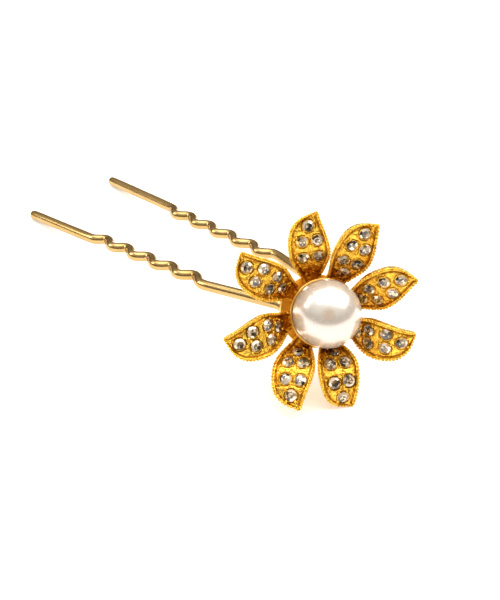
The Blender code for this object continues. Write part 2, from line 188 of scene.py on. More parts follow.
def start_piece(name, add, **sizes):
    """Add a primitive, in millimetres at the origin, as the start of a piece."""
    deselect_all()
    add(**sizes)
    piece = bpy.context.object
    piece.name = name
    piece.data.name = name
    return piece


def edit(piece):
    """Open a piece in edit mode with nothing selected."""
    deselect_all()
    bpy.context.view_layer.objects.active = piece
    piece.select_set(True)
    bpy.ops.object.mode_set(mode="EDIT")
    bpy.ops.mesh.select_all(action="DESELECT")


def close_edit():
    bpy.ops.object.mode_set(mode="OBJECT")


def pick_faces(piece, test):
    """Select the faces of the open piece whose middle and normal pass the test."""
    bpy.ops.mesh.select_mode(type="FACE")
    bpy.ops.mesh.select_all(action="DESELECT")
    shape = bmesh.from_edit_mesh(piece.data)
    for face in shape.faces:
        face.select_set(bool(test(face.calc_center_median(), face.normal)))
    shape.select_flush_mode()
    bmesh.update_edit_mesh(piece.data)


def apply_modifier(piece, kind, **settings):
    deselect_all()
    bpy.context.view_layer.objects.active = piece
    piece.select_set(True)
    modifier = piece.modifiers.new(kind.title(), kind)
    for key, value in settings.items():
        setattr(modifier, key, value)
    bpy.ops.object.modifier_apply(modifier=modifier.name)


def tidy_shell(piece):
    """Merge doubles and point all faces outwards."""
    edit(piece)
    bpy.ops.mesh.select_all(action="SELECT")
    bpy.ops.mesh.remove_doubles(threshold=0.0005)
    bpy.ops.mesh.normals_make_consistent(inside=False)
    close_edit()


def smooth(piece, degrees):
    deselect_all()
    bpy.context.view_layer.objects.active = piece
    piece.select_set(True)
    bpy.ops.object.shade_smooth_by_angle(angle=math.radians(degrees))


def finish_piece(piece, material, slot, *nodes):
    """Dress a piece and hang it on the pin in place of the solid nodes it stands for."""
    piece.data.materials.clear()
    piece.data.materials.append(material)
    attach(piece, "root")
    if nodes:
        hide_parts(*nodes)


def place_mesh(piece, matrix):
    """Put a piece modelled in millimetres at its place in metres."""
    piece.data.transform(matrix @ Matrix.Scale(MM, 4))


def many_copies(name, template, places):
    """One mesh holding a copy of the template at each place, a matrix in metres."""
    shape = template.data
    count = len(shape.vertices)
    points = np.empty(count * 3)
    shape.vertices.foreach_get("co", points)
    points = np.c_[points.reshape(-1, 3), np.ones(count)]
    faces = [tuple(face.vertices) for face in shape.polygons]
    all_points, all_faces = [], []
    for number, place in enumerate(places):
        all_points.append((points @ np.array(place).T)[:, :3])
        all_faces += [tuple(v + number * count for v in face) for face in faces]
    mesh = bpy.data.meshes.new(name)
    mesh.from_pydata(np.vstack(all_points).tolist(), [], all_faces)
    mesh.validate()
    piece = bpy.data.objects.new(name, mesh)
    bpy.context.collection.objects.link(piece)
    return piece


def drop(piece):
    bpy.data.objects.remove(piece, do_unlink=True)


# --- Petal shape --------------------------------------------------------------

class PetalSheet:
    """The arched and twisted middle surface of one petal, in millimetres."""

    def __init__(self, azimuth, slope, twist, yaw, arch):
        self.own_turn = (Quaternion((0, 1, 0), -math.radians(slope))
                         @ Quaternion((1, 0, 0), math.radians(twist))
                         @ Quaternion((0, 0, 1), math.radians(yaw)))
        self.arch = math.radians(arch)
        self.place = Matrix.Rotation(math.radians(azimuth), 4, "Z")
        self.lengths = np.linspace(FOOT_START, PETAL_LENGTH, 121)
        step = self.lengths[1] - self.lengths[0]
        spot = Vector((FOOT_RADIUS, 0, SOLDER_GAP + PETAL_THICKNESS / 2))
        spots = [spot.copy()]
        for along in self.lengths[:-1] + step / 2:
            spot = spot + self.direction(along) @ Vector((step, 0, 0))
            spots.append(spot.copy())
        self.spots = np.array(spots)

    def direction(self, along):
        curl = Quaternion((0, 1, 0), self.arch * (max(along, NECK_END) - PETAL_MIDDLE)
                          / PETAL_LENGTH)
        share = min(max((along - FOOT_END) / (NECK_END - FOOT_END), 0), 1)
        return Quaternion().slerp(self.own_turn @ curl, share * share * (3 - 2 * share))

    def point(self, along, across, height):
        spot = Vector([np.interp(along, self.lengths, self.spots[:, i]) for i in range(3)])
        return self.place @ (spot + self.direction(along) @ Vector((0, across, height)))

    def frame(self, along, across, height):
        matrix = self.place.to_3x3() @ self.direction(along).to_matrix()
        matrix = matrix.to_4x4()
        matrix.translation = self.point(along, across, height)
        return matrix


def smooth_curve(points, steps):
    """Catmull-Rom samples through points, with its ends held."""
    points = [Vector(p) for p in points]
    held = [points[0]] + points + [points[-1]]
    samples = []
    for i in range(steps + 1):
        place = i / steps * (len(points) - 1)
        k = min(int(place), len(points) - 2)
        t = place - k
        p0, p1, p2, p3 = held[k:k + 4]
        samples.append(0.5 * (2 * p1 + (p2 - p0) * t + (2 * p0 - 5 * p1 + 4 * p2 - p3) * t * t
                              + (3 * p1 - p0 - 3 * p2 + p3) * t ** 3))
    return samples


def petal_edges(sweep, steps):
    """The two edges of a petal from foot to tip, the one with lower across first."""
    edges = []
    for blade in (FULL_EDGE, HOLLOW_EDGE):
        side = -sweep if blade[0][1] > 0 else sweep
        points = [(FOOT_START, side * FOOT_WIDTH / 2), (NECK_START, side * NECK_WIDTH / 2)]
        points += [(share * PETAL_LENGTH, -sweep * across * PETAL_WIDTH / 2)
                   for share, across in blade]
        edges.append(smooth_curve(points, steps))
    return edges if sweep > 0 else edges[::-1]


def fit_flower():
    """Place of the flower in the world, found from where its stones lie."""
    own, found, axes = [], [], []
    for letter, azimuth, slope, twist, yaw, arch, _, has_base in PETALS:
        sheet = PetalSheet(azimuth, slope, twist, yaw, arch)
        for row, share, side in STONE_ROWS:
            if row == "base" and not has_base:
                continue
            place = sheet.frame(share * PETAL_LENGTH, side * STONE_SPACING / 2,
                                PETAL_THICKNESS / 2 - FIELD_DEPTH - STONE_SINK)
            own.append(place.translation * MM)
            axes.append(place.to_3x3() @ Vector((0, 0, MM)))
            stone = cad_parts["stone_%s_%s" % (letter, row)].data
            found.append(sum((v.co for v in stone.vertices), Vector()) / len(stone.vertices))
    own, found, axes = np.array(own), np.array(found), np.array(axes)
    best = None
    for rise in np.linspace(-0.4, 0.4, 161):
        points = own + axes * rise
        a, b = points.mean(axis=0), found.mean(axis=0)
        u, _, v = np.linalg.svd((points - a).T @ (found - b))
        turn = v.T @ np.diag([1, 1, np.sign(np.linalg.det(v.T @ u.T))]) @ u.T
        miss = np.abs((points - a) @ turn.T + b - found).max()
        if best is None or miss < best[0]:
            best = (miss, turn, b - turn @ a)
    if best[0] > 0.03 * MM:
        raise RuntimeError("the stones of the solid model don't lie on these petals")
    matrix = Matrix(best[1].tolist()).to_4x4()
    matrix.translation = Vector(best[2])
    return matrix


FLOWER = fit_flower()


# --- Materials ----------------------------------------------------------------

class Finish:
    """A node material built up around one Principled shader."""

    def __init__(self, name):
        self.material = bpy.data.materials.new(name)
        self.material.use_nodes = True
        self.tree = self.material.node_tree
        self.shader = self.tree.nodes["Principled BSDF"]
        self.space = self.node("ShaderNodeTexCoord").outputs["Object"]

    def node(self, kind, **settings):
        made = self.tree.nodes.new(kind)
        for key, value in settings.items():
            setattr(made, key, value)
        return made

    def link(self, output, target):
        self.tree.links.new(output, target)

    def set(self, **values):
        for key, value in values.items():
            self.shader.inputs[key.replace("_", " ")].default_value = value

    def noise(self, scale, detail=3.0, roughness=0.55, source=None):
        """Noise with features about one over scale metres across."""
        made = self.node("ShaderNodeTexNoise")
        made.inputs["Scale"].default_value = scale
        made.inputs["Detail"].default_value = detail
        made.inputs["Roughness"].default_value = roughness
        self.link(source or self.space, made.inputs["Vector"])
        return made.outputs["Fac"]

    def cells(self, scale):
        made = self.node("ShaderNodeTexVoronoi", feature="SMOOTH_F1")
        made.inputs["Scale"].default_value = scale
        made.inputs["Smoothness"].default_value = 0.4
        self.link(self.space, made.inputs["Vector"])
        return made.outputs["Distance"]

    def attribute(self, name):
        return self.node("ShaderNodeAttribute", attribute_name=name).outputs["Fac"]

    def levels(self, source, low, high, out_low=0.0, out_high=1.0):
        made = self.node("ShaderNodeMapRange")
        for socket, value in zip(("From Min", "From Max", "To Min", "To Max"),
                                 (low, high, out_low, out_high)):
            made.inputs[socket].default_value = value
        self.link(source, made.inputs["Value"])
        return made.outputs["Result"]

    def sum(self, a, b, share=1.0):
        """a plus a share of b."""
        made = self.node("ShaderNodeMath", operation="MULTIPLY_ADD")
        self.link(b, made.inputs[0])
        made.inputs[1].default_value = share
        self.link(a, made.inputs[2])
        return made.outputs[0]

    def mix(self, factor, first, second):
        made = self.node("ShaderNodeMix", data_type="RGBA")
        self.link(factor, made.inputs["Factor"])
        for socket, value in (("A", first), ("B", second)):
            target = [s for s in made.inputs if s.name == socket and s.type == "RGBA"][0]
            if hasattr(value, "is_output"):
                self.link(value, target)
            else:
                target.default_value = tuple(value) + (1.0,)
        return [s for s in made.outputs if s.type == "RGBA"][0]

    def bump(self, height, distance, strength=1.0):
        made = self.node("ShaderNodeBump")
        made.inputs["Distance"].default_value = distance
        made.inputs["Strength"].default_value = strength
        self.link(height, made.inputs["Height"])
        self.link(made.outputs["Normal"], self.shader.inputs["Normal"])

    def colour(self, output):
        self.link(output, self.shader.inputs["Base Color"])

    def rough(self, output):
        self.link(output, self.shader.inputs["Roughness"])


def petal_finish(colours):
    """Cast gold plate: bright on high spots, darkened in the recesses by painted shade, grainy."""
    made = Finish("petal_gold")
    made.set(Metallic=1.0)
    # Painted shade: a per-vertex attribute set when the petals are cast darkens grooves, stone
    # seats, feet and undersides towards petal_shade; random mottling is added to it.
    painted_shade = made.attribute("painted_shade")
    mottle = made.noise(1500.0, 4.0, 0.6)
    broad = made.noise(420.0, 2.0)
    depth = made.sum(painted_shade, made.levels(mottle, 0.35, 0.7, -0.35, 0.35))
    depth = made.sum(depth, made.levels(broad, 0.3, 0.7, -0.12, 0.12))
    clipped = made.levels(depth, 0.0, 1.0)
    made.colour(made.mix(clipped, colours.petal_gold, colours.petal_shade))
    made.rough(made.levels(depth, 0.0, 1.0, 0.13, 0.36))
    grain = made.sum(mottle, made.cells(1700.0), -0.5)
    made.bump(made.sum(grain, made.noise(5000.0), 0.12), 0.0003, 0.8)
    return made.material


def bead_finish(colours):
    """Burnished gold plate on raised beads, browned here and there at random."""
    made = Finish("bead_gold")
    made.set(Metallic=1.0)
    wear = made.noise(1500.0)
    made.colour(made.mix(made.levels(wear, 0.42, 0.72), colours.petal_gold, colours.petal_shade))
    made.rough(made.levels(wear, 0.3, 0.7, 0.16, 0.32))
    made.bump(made.noise(7000.0), 0.00003, 0.5)
    return made.material


def seat_finish(colours):
    """Gold plate painted dark brown as the shadow in the narrow seats of the stones."""
    made = Finish("seat_shadow_gold")
    made.set(Metallic=1.0)
    wear = made.noise(1800.0)
    # painted shadow colour: petal_shade darkened further
    brown = Vector(colours.petal_shade) * 0.40
    made.colour(made.mix(made.levels(wear, 0.45, 0.75), brown, colours.petal_shade))
    made.rough(made.levels(wear, 0.3, 0.7, 0.25, 0.40))
    return made.material


def setting_finish(colours):
    """Polished gold plate with faint turning marks and clouding."""
    made = Finish("polished_gold")
    made.set(Metallic=1.0)
    cloud = made.noise(600.0)
    made.colour(made.mix(made.levels(cloud, 0.35, 0.8), colours.disc_gold, colours.petal_shade))
    made.rough(made.levels(cloud, 0.3, 0.7, 0.14, 0.26))
    made.bump(made.noise(3500.0), 0.00004, 0.4)
    return made.material


def wire_finish(colours):
    """Drawn wire under thin gold plate: lines along the drawing, slight clouds."""
    made = Finish("wire_gold")
    made.set(Metallic=1.0)
    stretch = made.node("ShaderNodeMapping")
    stretch.inputs["Scale"].default_value = (1.0, 0.05, 1.0)
    made.link(made.space, stretch.inputs["Vector"])
    drawn = made.noise(5200.0, 3.0, 0.6, stretch.outputs["Vector"])
    cloud = made.noise(260.0)
    toned = made.sum(cloud, drawn, 0.25)
    pale = Vector(colours.wire_gold)
    deep = (pale.x * 0.86, pale.y * 0.76, pale.z * 0.56)
    made.colour(made.mix(made.levels(toned, 0.45, 0.85), colours.wire_gold, deep))
    made.rough(made.levels(drawn, 0.3, 0.7, 0.17, 0.24))
    made.bump(drawn, 0.000004, 0.2)
    return made.material


def pearl_finish(colours):
    """Nacre: a soft body with faint clouds and a satin mirror deep in its skin."""
    made = Finish("nacre")
    cloud = made.levels(made.noise(230.0, 3.0), 0.35, 0.75)
    made.colour(made.mix(cloud, colours.pearl_body, colours.pearl_blush))
    fine = made.noise(1500.0, 3.0)
    made.rough(made.levels(fine, 0.3, 0.7, 0.22, 0.28))
    made.set(Metallic=0.50, IOR=1.62, Coat_Weight=0.5, Coat_Roughness=0.12, Coat_IOR=1.5,
             Thin_Film_Thickness=330.0, Thin_Film_IOR=1.4, Specular_IOR_Level=0.6)
    made.bump(fine, 0.000012, 0.3)
    return made.material


def stone_finish(colours):
    """Foiled crystal: each facet returns its own share of light."""
    made = Finish("foiled_crystal")
    tone = made.attribute("facet_tone")
    flaw = made.levels(made.noise(2500.0), 0.3, 0.7, -0.08, 0.08)
    depth = made.levels(made.sum(tone, flaw), 0.0, 1.0)
    warm = made.mix(made.levels(depth, 0.0, 0.55), colours.stone_dark, colours.stone_warm)
    made.colour(made.mix(made.levels(depth, 0.45, 1.0), warm, colours.stone_light))
    made.set(Metallic=0.45, Roughness=0.06, IOR=1.6, Coat_Weight=1.0, Coat_Roughness=0.02,
             Coat_IOR=1.6)
    return made.material


def floor_finish(colours):
    made = Finish("floor_paper")
    tooth = made.noise(900.0)
    made.colour(made.mix(made.levels(tooth, 0.4, 0.6), colours.floor,
                         Vector(colours.floor) * 0.995))
    made.set(Roughness=0.9, Specular_IOR_Level=0.1, Emission_Color=(1.0, 1.0, 1.0, 1.0),
             Emission_Strength=FLOOR_GLOW)
    return made.material


def finish_named(name, make):
    """The material of that name, made on its first use."""
    known = bpy.data.materials.get(name)
    return known or make(bpy.context.scene.hair_pin_colours)


# --- Operators ----------------------------------------------------------------

class HAIRPIN_OT_wire(bpy.types.Operator):
    """Round the crimped wire of the pin and plate it"""
    bl_idname = "hairpin.wire"
    bl_label = "Crimped Wire"

    def execute(self, context):
        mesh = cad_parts["hairpin_wire"].data.copy()
        mesh.name = "pin_wire"
        wire = bpy.data.objects.new("pin_wire", mesh)
        context.collection.objects.link(wire)
        mesh.transform(Matrix.Scale(1 / MM, 4))
        edit(wire)
        bpy.ops.mesh.select_all(action="SELECT")
        bpy.ops.mesh.remove_doubles(threshold=0.002)
        bpy.ops.mesh.tris_convert_to_quads(face_threshold=math.radians(60),
                                           shape_threshold=math.radians(60))
        bpy.ops.mesh.normals_make_consistent(inside=False)
        bpy.ops.transform.shrink_fatten(value=PLATE_THICKNESS)
        close_edit()
        apply_modifier(wire, "SUBSURF", levels=2, render_levels=2)
        mesh = wire.data
        mesh.transform(Matrix.Scale(MM, 4))
        smooth(wire, 80)
        finish_piece(wire, finish_named("wire_gold", wire_finish), "wire", "hairpin_wire")
        return {"FINISHED"}


class HAIRPIN_OT_setting(bpy.types.Operator):
    """Make the back disc, the pearl's cup and the riveted peg"""
    bl_idname = "hairpin.setting"
    bl_label = "Disc, Cup and Peg"

    def execute(self, context):
        gold = finish_named("polished_gold", setting_finish)
        self.make_disc(gold)
        self.make_cup(context.scene.hair_pin_sizes, gold)
        self.make_peg(gold)
        return {"FINISHED"}

    def make_disc(self, gold):
        disc = start_piece("disc_turned", bpy.ops.mesh.primitive_cylinder_add, vertices=96,
                           radius=DISC_RADIUS, depth=DISC_THICKNESS,
                           location=(0, 0, -DISC_THICKNESS / 2))
        bpy.ops.object.transform_apply(location=True)
        edit(disc)
        pick_faces(disc, lambda middle, normal: abs(normal.z) > 0.5)
        bpy.ops.mesh.inset(thickness=0.35)
        pick_faces(disc, lambda middle, normal: normal.z < -0.5 and middle.xy.length < 0.1)
        bpy.ops.mesh.inset(thickness=0.12, depth=-0.08)
        pick_faces(disc, lambda middle, normal: abs(normal.z) > 0.5 and middle.xy.length < 0.1)
        bpy.ops.mesh.inset(thickness=2.0)
        pick_faces(disc, lambda middle, normal: abs(normal.z) > 0.5 and middle.xy.length < 0.1)
        bpy.ops.transform.resize(value=(0.2, 0.2, 1.0))
        close_edit()
        rings = [v.co.xy.length for v in disc.data.vertices]
        shrink = HOLE_RADIUS / min(rings)
        for vert in disc.data.vertices:
            if vert.co.xy.length < min(rings) * 1.01:
                vert.co.x *= shrink
                vert.co.y *= shrink
        edit(disc)
        pick_faces(disc, lambda middle, normal: abs(normal.z) > 0.5 and middle.xy.length < 0.1)
        bpy.ops.mesh.bridge_edge_loops()
        close_edit()
        tidy_shell(disc)
        apply_modifier(disc, "BEVEL", width=0.09, segments=3, limit_method="ANGLE",
                       angle_limit=math.radians(30))
        place_mesh(disc, FLOWER)
        smooth(disc, 40)
        finish_piece(disc, gold, "polished_gold", "back_disc")

    def make_cup(self, sizes, gold):
        lip = sizes.cup_lip / MM
        cup = start_piece("pearl_cup_rolled", bpy.ops.mesh.primitive_uv_sphere_add, segments=96,
                          ring_count=64, radius=CUP_OUTER)
        edit(cup)
        bpy.ops.mesh.select_all(action="SELECT")
        bpy.ops.mesh.bisect(plane_co=(0, 0, CUP_RIM - lip * 0.4), plane_no=(0, 0, 1),
                            clear_outer=True, threshold=1e-5)
        bpy.ops.mesh.select_all(action="SELECT")
        floor = -math.sqrt(CUP_INNER ** 2 - HOLE_RADIUS ** 2)
        bpy.ops.mesh.bisect(plane_co=(0, 0, floor), plane_no=(0, 0, -1), clear_outer=True,
                            threshold=1e-5)
        close_edit()
        apply_modifier(cup, "SOLIDIFY", thickness=CUP_OUTER - CUP_INNER, offset=-1.0)
        tidy_shell(cup)
        radius = math.sqrt(CUP_INNER ** 2 - CUP_RIM ** 2) + lip * 0.95
        ring = start_piece("cup_lip", bpy.ops.mesh.primitive_torus_add, major_radius=radius,
                           minor_radius=lip, major_segments=96, minor_segments=14,
                           location=(0, 0, CUP_RIM))
        bpy.ops.object.transform_apply(location=True)
        edit(ring)
        bpy.ops.mesh.select_all(action="SELECT")
        bpy.ops.transform.resize(value=(1, 1, 1.25), center_override=(0, 0, CUP_RIM))
        close_edit()
        deselect_all()
        ring.select_set(True)
        cup.select_set(True)
        bpy.context.view_layer.objects.active = cup
        bpy.ops.object.join()
        place_mesh(cup, FLOWER @ Matrix.Translation((0, 0, PEARL_HEIGHT * MM)))
        smooth(cup, 40)
        finish_piece(cup, gold, "polished_gold", "pearl_cup")

    def make_peg(self, gold):
        top = PEARL_HEIGHT - PEARL_RADIUS + PEG_IN_PEARL
        peg = start_piece("peg_riveted", bpy.ops.mesh.primitive_cylinder_add, vertices=32,
                          radius=PEG_RADIUS, depth=top + DISC_THICKNESS,
                          location=(0, 0, (top - DISC_THICKNESS) / 2))
        bpy.ops.object.transform_apply(location=True)
        edit(peg)
        pick_faces(peg, lambda middle, normal: normal.z < -0.5)
        bpy.ops.mesh.inset(thickness=0.03)
        bpy.ops.mesh.extrude_region_move(TRANSFORM_OT_translate={"value": (0, 0, -0.05)})
        bpy.ops.transform.resize(value=(1.55, 1.55, 1.0),
                                 center_override=(0, 0, -DISC_THICKNESS - 0.05))
        bpy.ops.mesh.extrude_region_move(TRANSFORM_OT_translate={"value": (0, 0, -0.12)})
        bpy.ops.transform.resize(value=(0.8, 0.8, 1.0),
                                 center_override=(0, 0, -DISC_THICKNESS - 0.17))
        pick_faces(peg, lambda middle, normal: normal.z > 0.5 and middle.z > 1)
        bpy.ops.mesh.extrude_region_move(TRANSFORM_OT_translate={"value": (0, 0, 0)})
        bpy.ops.transform.resize(value=(0.7, 0.7, 1.0), center_override=(0, 0, top))
        close_edit()
        apply_modifier(peg, "BEVEL", width=0.04, segments=2, limit_method="ANGLE",
                       angle_limit=math.radians(35))
        place_mesh(peg, FLOWER)
        smooth(peg, 40)
        finish_piece(peg, gold, "polished_gold", "pearl_peg")


class HAIRPIN_OT_pearl(bpy.types.Operator):
    """Make the drilled pearl"""
    bl_idname = "hairpin.pearl"
    bl_label = "Pearl"

    def execute(self, context):
        pearl = start_piece("pearl_nacre", bpy.ops.mesh.primitive_uv_sphere_add, segments=128,
                            ring_count=96, radius=PEARL_RADIUS)
        edit(pearl)
        hole_floor = -math.sqrt(PEARL_RADIUS ** 2 - HOLE_RADIUS ** 2)
        bpy.ops.mesh.select_all(action="SELECT")
        bpy.ops.mesh.bisect(plane_co=(0, 0, hole_floor), plane_no=(0, 0, -1), use_fill=True,
                            clear_outer=True, threshold=1e-5)
        pick_faces(pearl, lambda middle, normal: normal.z < -0.9 and middle.xy.length < 0.05)
        bpy.ops.mesh.extrude_region_move(TRANSFORM_OT_translate={"value": (0, 0, PEG_IN_PEARL)})
        close_edit()
        tidy_shell(pearl)
        place_mesh(pearl, FLOWER @ Matrix.Translation((0, 0, PEARL_HEIGHT * MM)))
        smooth(pearl, 40)
        finish_piece(pearl, finish_named("nacre", pearl_finish), "pearl", "pearl")
        return {"FINISHED"}


def near_stone(spot, stones):
    """Distance from a spot on the petal's flat pattern to the nearest stone's edge."""
    return min((spot - stone).length for stone in stones) - STONE_RADIUS


def stone_spots(has_base):
    """Places of a petal's stones on its flat pattern."""
    return [Vector((share * PETAL_LENGTH, side * STONE_SPACING / 2))
            for row, share, side in STONE_ROWS if row != "base" or has_base]


class HAIRPIN_OT_petals(bpy.types.Operator):
    """Cast the eight petals with their borders, grooves and stone fields"""
    bl_idname = "hairpin.petals"
    bl_label = "Petals"

    def execute(self, context):
        gold = finish_named("petal_gold", petal_finish)
        for letter, azimuth, slope, twist, yaw, arch, sweep, has_base in PETALS:
            sheet = PetalSheet(azimuth, slope, twist, yaw, arch)
            petal = self.cast("petal_%s_cast" % letter, sheet, sweep, stone_spots(has_base))
            finish_piece(petal, gold, "cast_gold", "petal_" + letter)
        return {"FINISHED"}

    def cast(self, name, sheet, sweep, stones):
        columns = 2 * len(EDGE_SECTION) + MIDDLE_COLUMNS - 1
        petal = start_piece(name, bpy.ops.mesh.primitive_grid_add, x_subdivisions=STATIONS,
                            y_subdivisions=columns, size=1.0)
        edit(petal)
        bpy.ops.mesh.select_all(action="SELECT")
        bpy.ops.mesh.extrude_region_move(TRANSFORM_OT_translate={"value": (0, 0, 1)})
        close_edit()
        low_edge, high_edge = petal_edges(sweep, STATIONS)
        # Painted shade, kept per vertex: darker in the groove, round the stones, towards the foot
        # and on the underside.
        painted_shade = petal.data.attributes.new("painted_shade", "FLOAT", "POINT")
        for vert in petal.data.vertices:
            station = round((vert.co.x + 0.5) * STATIONS)
            column = round((vert.co.y + 0.5) * columns)
            low, high = low_edge[station], high_edge[station]
            width = (high - low).length
            inward, below, dark = self.section(column, columns, width)
            spot = low.lerp(high, inward / width)
            if vert.co.z > 0.5:
                height = PETAL_THICKNESS / 2 - below
                # painted shade round the stone seats and towards the petal's foot
                dark += 0.40 * max(0, 1 - max(0, near_stone(spot, stones)) / 0.30)
                dark += 0.5 * max(0, 1 - (spot.x + 1) / 3.2)
            else:
                rounded = min(inward, width - inward) < 0.02
                height = -PETAL_THICKNESS / 2 + (0.2 if rounded else 0.0)
                # painted shade: the underside is painted darker
                dark = 0.35
            vert.co = sheet.point(spot.x, spot.y, height)
            painted_shade.data[vert.index].value = min(1.0, dark)
        edit(petal)
        bpy.ops.mesh.select_all(action="SELECT")
        bpy.ops.mesh.normals_make_consistent(inside=False)
        close_edit()
        apply_modifier(petal, "SUBSURF", levels=1, render_levels=1)
        place_mesh(petal, FLOWER)
        smooth(petal, 60)
        return petal

    def section(self, column, columns, width):
        """Distance in from the low edge, depth below the border's top, and the painted shade
        there.
        """
        reach = EDGE_SECTION[-1][0]
        fit = min(1.0, 0.42 * width / reach)
        mirrored = columns - column
        near = min(column, mirrored)
        if near < len(EDGE_SECTION):
            inward, below = EDGE_SECTION[near]
            # painted shade: darkest in the groove, lighter up its walls, none on the border's top
            dark = 0.9 if 0.45 < inward < 0.7 else (0.0 if inward < 0.4 else 0.45)
            inward, below = inward * fit, below * fit
        else:
            share = (near - len(EDGE_SECTION) + 1) / (MIDDLE_COLUMNS + 1)
            inward = reach * fit + share * (width - 2 * reach * fit)
            # painted shade over the stone field
            dark = 0.26
            below = (FIELD_DEPTH - 0.05 * min(1, 4 * share * (1 - share) * 2)) * fit
        if column > mirrored:
            inward = width - inward
        return inward, below, dark


class HAIRPIN_OT_beading(bpy.types.Operator):
    """Set the milled beads, stone bezels and gold grains on the petals"""
    bl_idname = "hairpin.beading"
    bl_label = "Beading and Bezels"

    def execute(self, context):
        sizes = context.scene.hair_pin_sizes
        gold = finish_named("bead_gold", bead_finish)
        bead, bezel = self.model_bead(), self.model_bezel(sizes)
        for letter, azimuth, slope, twist, yaw, arch, sweep, has_base in PETALS:
            sheet = PetalSheet(azimuth, slope, twist, yaw, arch)
            stones = stone_spots(has_base)
            row = self.bead_row(sheet, sweep, sizes)
            milled = many_copies("petal_%s_milling" % letter, bead, row)
            smooth(milled, 60)
            finish_piece(milled, gold, "cast_gold")
            height = PETAL_THICKNESS / 2 - FIELD_DEPTH
            rims = [FLOWER @ Matrix.Scale(MM, 4) @ sheet.frame(s.x, s.y, height) for s in stones]
            rims = many_copies("petal_%s_bezels" % letter, bezel, rims)
            smooth(rims, 60)
            # the bezel rims carry the painted seat shadow
            finish_piece(rims, finish_named("seat_shadow_gold", seat_finish), "cast_gold")
            grains = self.grain_places(letter, sheet, sweep, stones, sizes)
            grains = many_copies("petal_%s_grains" % letter, bead, grains)
            smooth(grains, 60)
            finish_piece(grains, gold, "cast_gold")
        drop(bead)
        drop(bezel)
        return {"FINISHED"}

    def model_bead(self):
        """A domed bead of radius 1 with a short collar under it."""
        bead = start_piece("bead", bpy.ops.mesh.primitive_uv_sphere_add, segments=10,
                           ring_count=8, radius=1.0)
        edit(bead)
        bpy.ops.mesh.select_all(action="SELECT")
        bpy.ops.mesh.bisect(plane_co=(0, 0, -BEAD_CUT), plane_no=(0, 0, -1), use_fill=True,
                            clear_outer=True, threshold=1e-4)
        close_edit()
        return bead

    def model_bezel(self, sizes):
        """A rim wire with its outer side pressed down onto the field."""
        bezel = start_piece("bezel", bpy.ops.mesh.primitive_torus_add,
                            major_radius=sizes.bezel_radius / MM,
                            minor_radius=sizes.bezel_wire / MM, major_segments=28,
                            minor_segments=8)
        edit(bezel)
        pick_faces(bezel, lambda middle, normal: middle.xy.length > sizes.bezel_radius / MM)
        bpy.ops.transform.resize(value=(1.05, 1.05, 0.8))
        close_edit()
        return bezel

    def bead_row(self, sheet, sweep, sizes):
        """Places of the milled beads along both edges, evenly spaced to the tip."""
        inset, pitch, radius = (v / MM for v in (sizes.bead_inset, sizes.bead_pitch,
                                                 sizes.bead_radius))
        steps = 240
        low, high = petal_edges(sweep, steps)
        places = []
        for edge, other in ((low, high), (high, low)):
            travelled, last = pitch / 2, None
            for a, b in zip(edge, other):
                width = (b - a).length
                if a.x < NECK_END * 0.4 or width < 3.0 * inset:
                    continue
                spot = a + (b - a) * (inset / width)
                point = sheet.point(spot.x, spot.y, 0)
                if last is not None:
                    travelled += (point - last).length
                last = point
                if travelled >= pitch:
                    travelled -= pitch
                    height = PETAL_THICKNESS / 2 - BEAD_DEPTH
                    places.append(FLOWER @ Matrix.Scale(MM, 4)
                                  @ sheet.frame(spot.x, spot.y, height)
                                  @ Matrix.Scale(radius, 4))
        return places

    def grain_places(self, letter, sheet, sweep, stones, sizes):
        """Grains held against the stones, and smaller ones strewn over the field."""
        chance = random.Random("grains " + letter)
        low, high = petal_edges(sweep, STATIONS)
        largest = sizes.grain_radius / MM
        spots = []
        for stone in stones:
            for quarter in range(4):
                angle = math.radians(45 + 90 * quarter + chance.uniform(-12, 12))
                reach = STONE_RADIUS + GRAIN_GAP
                spots.append((stone + Vector((math.cos(angle), math.sin(angle))) * reach,
                              largest * chance.uniform(0.75, 1.0)))
        for _ in range(GRAIN_TRIES):
            spot = Vector((chance.uniform(0.6, PETAL_LENGTH - 0.5), chance.uniform(-2.9, 2.9)))
            size = largest * chance.uniform(0.35, 0.75)
            if near_stone(spot, stones) > 0.12 + size and all(
                    (spot - other).length > size + taken for other, taken in spots):
                spots.append((spot, size))
        places = []
        for spot, size in spots:
            nearest = min((abs(a.x - spot.x), a.y, b.y) for a, b in zip(low, high))
            if nearest[1] + GRAIN_BORDER < spot.y < nearest[2] - GRAIN_BORDER:
                place = sheet.frame(spot.x, spot.y, PETAL_THICKNESS / 2 - FIELD_DEPTH)
                places.append(FLOWER @ Matrix.Scale(MM, 4) @ place @ Matrix.Scale(size, 4))
        return places


